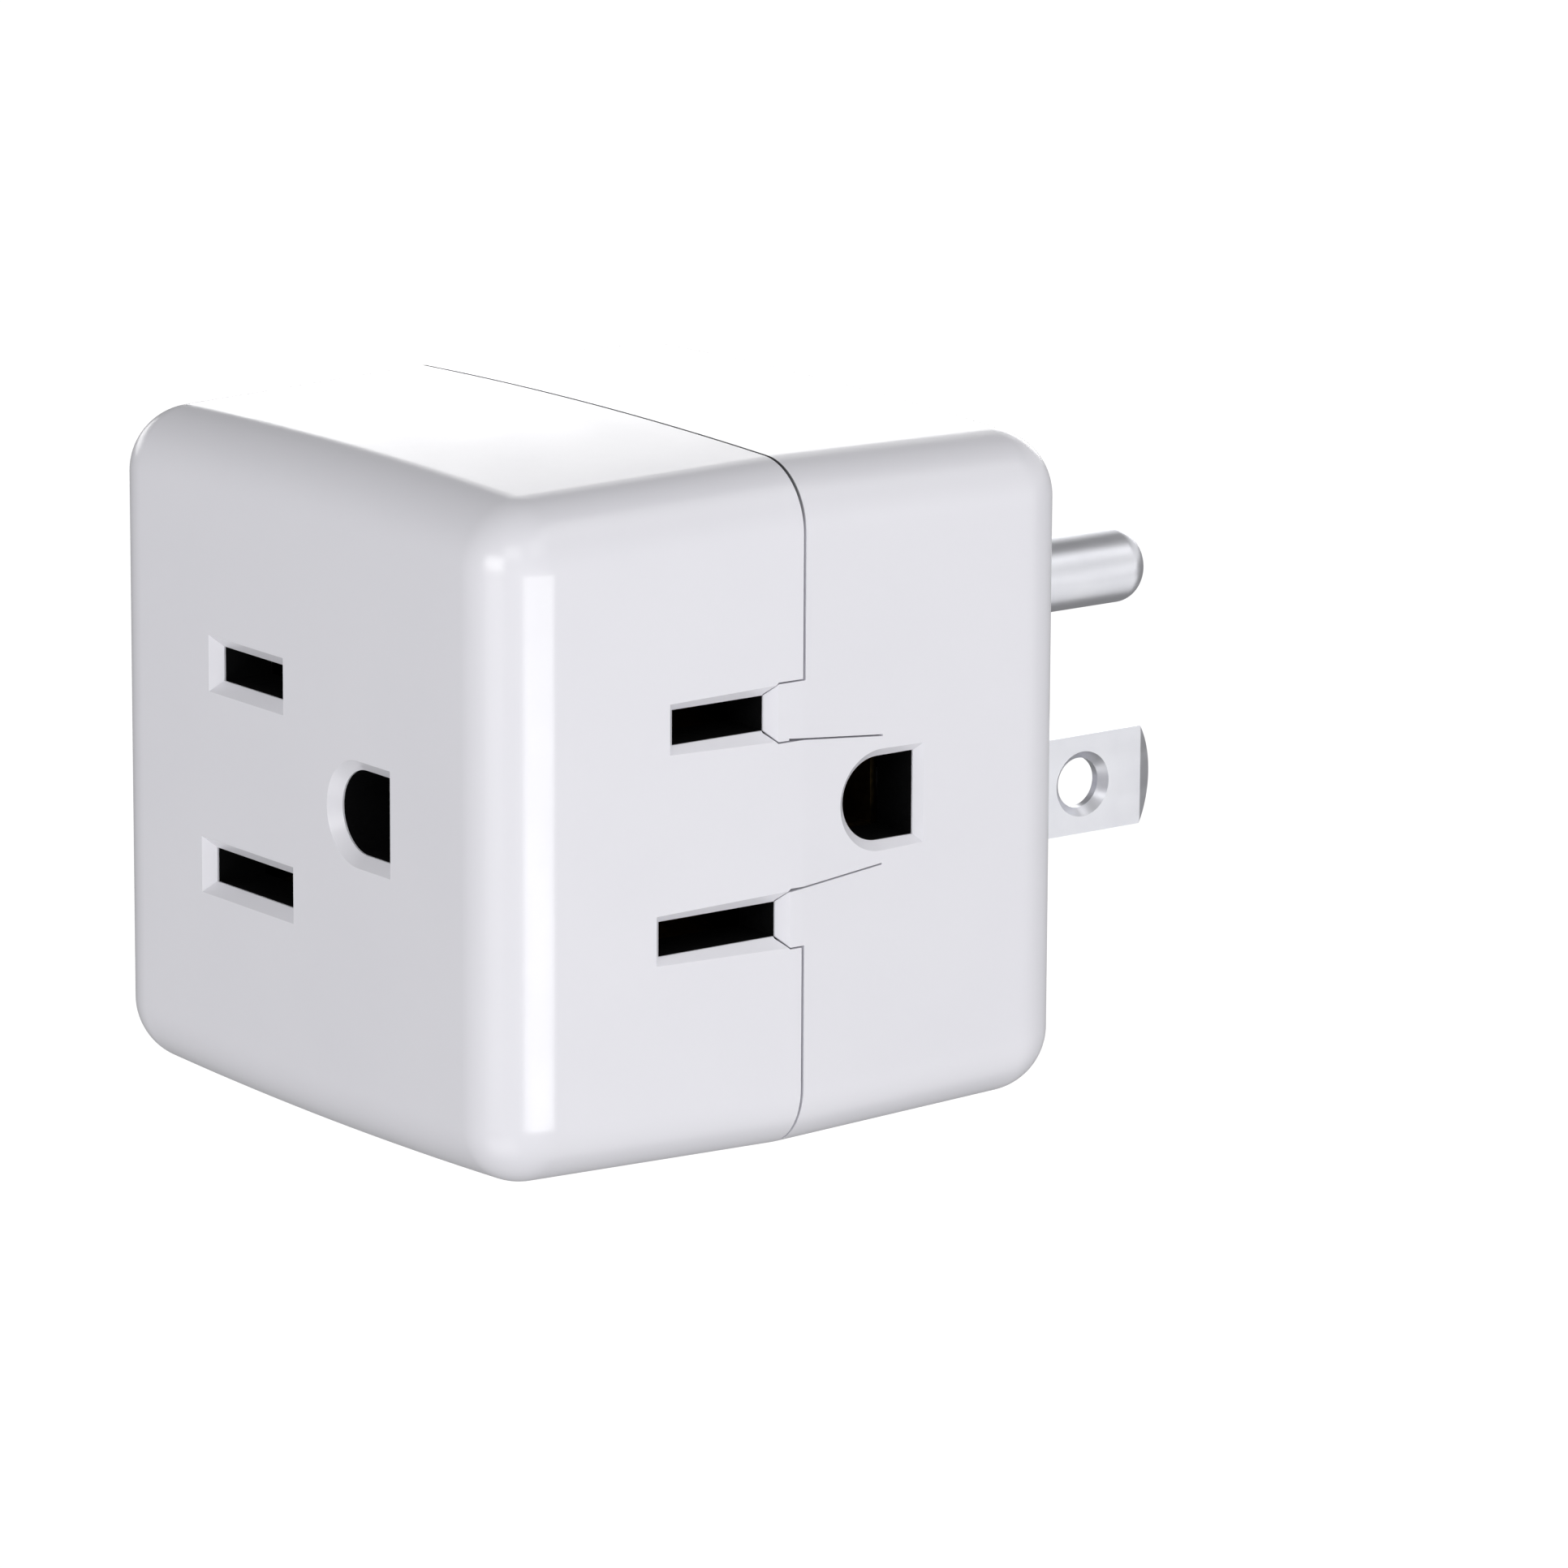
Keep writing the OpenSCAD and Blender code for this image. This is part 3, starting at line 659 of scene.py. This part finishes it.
def painted_gap_shade(tree):
    """Mask of painted shade in the parting gap where it faces up; it fades down the sides."""
    place = tree.nodes.new("ShaderNodeTexCoord")
    axes = tree.nodes.new("ShaderNodeSeparateXYZ")
    tree.links.new(place.outputs["Object"], axes.inputs["Vector"])
    gap = tree.nodes.new("ShaderNodeMath")
    gap.operation = "COMPARE"
    gap.inputs[1].default_value = (PARTING_Y + SEAM_GAP / 2) * MM
    gap.inputs[2].default_value = (SEAM_GAP / 2 + PAINTED_SHADE_RIM) * MM
    tree.links.new(axes.outputs["Y"], gap.inputs[0])
    high = tree.nodes.new("ShaderNodeMapRange")
    high.inputs["From Min"].default_value = (BODY_H / 2 - EDGE_R) * MM
    high.inputs["From Max"].default_value = (BODY_H / 2 - EDGE_R / 10) * MM
    high.inputs["To Max"].default_value = PAINTED_SHADE_COVER
    tree.links.new(axes.outputs["Z"], high.inputs["Value"])
    both = tree.nodes.new("ShaderNodeMath")
    both.operation = "MULTIPLY"
    tree.links.new(gap.outputs["Value"], both.inputs[0])
    tree.links.new(high.outputs["Result"], both.inputs[1])
    return both.outputs["Value"]


def white_plastic():
    """Smooth moulded ABS: cool white, a soft gloss and a barely visible moulding grain."""
    material, tree, shader = start_material("white_plastic")
    cloudy = remap(tree, noise(tree, 90, 4), 0, 1)
    clean = blend_colours(tree, cloudy, (0.792, 0.787, 0.836), (0.806, 0.801, 0.848))
    # Painted shade: the parting gap is drawn near black on top and fades down the sides
    colour = blend_colours(tree, painted_gap_shade(tree), clean, PAINTED_SHADE_COLOUR)
    tree.links.new(colour, shader.inputs["Base Color"])
    gloss = remap(tree, noise(tree, 260, 5), 0.22, 0.26)
    tree.links.new(gloss, shader.inputs["Roughness"])
    shader.inputs["IOR"].default_value = 1.5
    wave = bump(tree, shader, noise(tree, 350, 2), 0.000004)
    bump(tree, shader, noise(tree, 9000, 3), 0.0000006, before=wave)
    return material


def black_plastic():
    """Matte black insulator with a fine spark-eroded texture."""
    material, tree, shader = start_material("black_plastic")
    cloudy = remap(tree, noise(tree, 200, 4), 0, 1)
    colour = blend_colours(tree, cloudy, (0.0016, 0.0016, 0.0018), (0.003, 0.003, 0.0034))
    tree.links.new(colour, shader.inputs["Base Color"])
    gloss = remap(tree, noise(tree, 2500, 4), 0.55, 0.75)
    tree.links.new(gloss, shader.inputs["Roughness"])
    shader.inputs["Specular IOR Level"].default_value = 0.12
    bump(tree, shader, noise(tree, 6000, 3), 0.00001)
    return material


def plated_metal():
    """Satin nickel plate with faint rolling marks along the blades."""
    material, tree, shader = start_material("satin_nickel")
    shader.inputs["Metallic"].default_value = 1.0
    along = noise(tree, 1500, 4, stretch=(1, 0.05, 1))
    cloudy = remap(tree, noise(tree, 400, 4), 0, 1)
    colour = blend_colours(tree, cloudy, (0.78, 0.785, 0.83), (0.82, 0.825, 0.865))
    tree.links.new(colour, shader.inputs["Base Color"])
    tree.links.new(remap(tree, along, 0.34, 0.42), shader.inputs["Roughness"])
    bump(tree, shader, along, 0.0000012)
    return material


def brass():
    """Stamped brass strip: a warm metal with darker tarnish in soft patches."""
    material, tree, shader = start_material("contact_brass")
    shader.inputs["Metallic"].default_value = 1.0
    patches = remap(tree, noise(tree, 700, 5), 0, 1)
    colour = blend_colours(tree, patches, (0.16, 0.112, 0.048), (0.26, 0.187, 0.08))
    tree.links.new(colour, shader.inputs["Base Color"])
    tree.links.new(remap(tree, noise(tree, 3000, 4), 0.28, 0.45), shader.inputs["Roughness"])
    bump(tree, shader, noise(tree, 5000, 3), 0.000002)
    return material


def zinc_steel():
    """Zinc-plated screw steel with fine turning marks."""
    material, tree, shader = start_material("zinc_steel")
    shader.inputs["Metallic"].default_value = 1.0
    cloudy = remap(tree, noise(tree, 1800, 5), 0, 1)
    colour = blend_colours(tree, cloudy, (0.50, 0.51, 0.53), (0.66, 0.67, 0.69))
    tree.links.new(colour, shader.inputs["Base Color"])
    tree.links.new(remap(tree, noise(tree, 2500, 4), 0.30, 0.45), shader.inputs["Roughness"])
    bump(tree, shader, noise(tree, 8000, 3), 0.000002)
    return material


def dress(piece, material):
    piece.data.materials.clear()
    piece.data.materials.append(material)


BY_SLOT = {
    "white_shell": white_plastic(),
    "black_insulator": black_plastic(),
    "plug_nickel": plated_metal(),
    "contact_brass": brass(),
    "screw_steel": zinc_steel(),
}
slot_of = {part["node"]: part["material_slot"] for part in frame["record"]["subparts"]}

for piece in (front_piece, rear_piece):
    dress(piece, BY_SLOT["white_shell"])
for piece in (line_piece, neutral_piece, pin_piece):
    dress(piece, BY_SLOT["plug_nickel"])
for node, piece in frame["nodes"].items():
    for socket in piece.material_slots:
        socket.material = BY_SLOT[slot_of[node]]


# ---------------------------------------------------------------------- stage

# The photo's camera, fitted to the body's edges and the two outlets in view
CAMERA_AIM = Vector((7.62, -12.12, -2.1)) * MM
CAMERA_DISTANCE = 559.4 * MM
CAMERA_AZIMUTH = 52.99
CAMERA_ELEVATION = 13.31
CAMERA_ROLL = 0.3
LENS = 209.6
SENSOR = 36
NEAREST, FARTHEST = 0.05, 50
FLOOR_REACH = 20
FLOOR_GAP = 0.0005
PURE_WHITE = 1.05
LIGHT_DISTANCE = 1.0
BODY_MIDDLE = Vector((0, (cover_low.y + rear_high.y) / 2, 0)) * MM


def direction(azimuth, elevation):
    """Unit vector; azimuth 0 faces the front outlet and 90 the right-hand one."""
    a, e = math.radians(azimuth), math.radians(elevation)
    return Vector((math.sin(a) * math.cos(e), -math.cos(a) * math.cos(e), math.sin(e)))


def camera():
    data = bpy.data.cameras.new("camera")
    data.lens = LENS
    data.sensor_width = SENSOR
    data.clip_start = NEAREST
    data.clip_end = FARTHEST
    view = bpy.data.objects.new("camera", data)
    bpy.context.scene.collection.objects.link(view)
    back = direction(CAMERA_AZIMUTH, CAMERA_ELEVATION)
    turn = (-back).to_track_quat("-Z", "Y").to_matrix()
    roll = Matrix.Rotation(math.radians(CAMERA_ROLL), 3, back)
    view.matrix_world = Matrix.Translation(CAMERA_AIM + back * CAMERA_DISTANCE) @ (
        (roll @ turn).to_4x4()
    )
    bpy.context.scene.camera = view


def floor():
    """Plain white floor, just under the lowest point of the body."""
    level = cad_box[0].z - FLOOR_GAP
    bm = bmesh.new()
    signs = [(-1, -1), (1, -1), (1, 1), (-1, 1)]
    bm.faces.new([bm.verts.new((FLOOR_REACH * x, FLOOR_REACH * y, level)) for x, y in signs])
    plane = new_object("floor", bm)
    material = bpy.data.materials.new("floor_white")
    material.use_nodes = True
    tree = material.node_tree
    tree.nodes.clear()
    glow = tree.nodes.new("ShaderNodeEmission")
    glow.inputs["Strength"].default_value = PURE_WHITE
    out = tree.nodes.new("ShaderNodeOutputMaterial")
    tree.links.new(glow.outputs["Emission"], out.inputs["Surface"])
    plane.data.materials.append(material)
    plane.visible_diffuse = False
    plane.visible_glossy = False
    plane.visible_shadow = False
    plane.visible_transmission = False


def span(angle):
    """Side of a softbox that fills this angle as the object sees it."""
    return 2 * LIGHT_DISTANCE * math.tan(math.radians(angle / 2))


def softbox(name, azimuth, elevation, width, height, radiance):
    """Rectangular light that faces the object; width and height are angles in degrees."""
    data = bpy.data.lights.new(name, "AREA")
    data.shape = "RECTANGLE"
    data.size = span(width)
    data.size_y = span(height)
    data.energy = radiance * math.pi * data.size * data.size_y
    lamp = bpy.data.objects.new(name, data)
    bpy.context.scene.collection.objects.link(lamp)
    away = direction(azimuth, elevation)
    lamp.location = BODY_MIDDLE + away * LIGHT_DISTANCE
    lamp.rotation_mode = "QUATERNION"
    lamp.rotation_quaternion = (-away).to_track_quat("-Z", "Y")
    lamp.visible_camera = False


def sky(ambient):
    """White to the camera, and a weak even light on the object."""
    world = bpy.data.worlds.new("studio")
    world.use_nodes = True
    tree = world.node_tree
    tree.nodes.clear()
    seen = tree.nodes.new("ShaderNodeBackground")
    seen.inputs["Strength"].default_value = PURE_WHITE
    fill = tree.nodes.new("ShaderNodeBackground")
    fill.inputs["Strength"].default_value = ambient
    rays = tree.nodes.new("ShaderNodeLightPath")
    mix = tree.nodes.new("ShaderNodeMixShader")
    out = tree.nodes.new("ShaderNodeOutputWorld")
    tree.links.new(rays.outputs["Is Camera Ray"], mix.inputs["Fac"])
    tree.links.new(fill.outputs["Background"], mix.inputs[1])
    tree.links.new(seen.outputs["Background"], mix.inputs[2])
    tree.links.new(mix.outputs["Shader"], out.inputs["Surface"])
    bpy.context.scene.world = world


camera()
floor()
sky(0.28)

# Along the front right corner: the white strip on it, and the softer light above
softbox("corner_key", 89, -14.5, 50, 5, 13)
softbox("corner_high", 45, 30, 26, 20, 2.25)

# From the front: the front face, and the right face at a low angle
softbox("front_key", 15, 10, 30, 20, 5.8)
softbox("front_low", 15, -8, 30, 15, 1.3)
softbox("front_under", 20, -45, 42, 30, 1.3)

# From the right and behind: what the right face, the pin and the blade mirror
softbox("right_high", 92, 37, 28, 25, 1.2)
softbox("rear_right", 135, 0, 30, 24, 1.0)
softbox("rear_right_high", 135, 25, 27, 25, 0.65)
softbox("rear_right_low", 140, -38, 40, 40, 0.75)
softbox("rear_high", 132, 47, 31, 20, 1.6)

# Across the top from behind on the left, so that it mirrors white
softbox("top_rake", -135, 8, 30, 15, 3.1)
softbox("top_rake_high", -135, 25, 27, 20, 1.2)

# Fills for the faces that the camera doesn't see
softbox("rear_fill", 180, 20, 60, 30, 0.6)
softbox("left_fill", -90, 9, 30, 12, 2.5)

bpy.context.scene.view_settings.view_transform = "Standard"
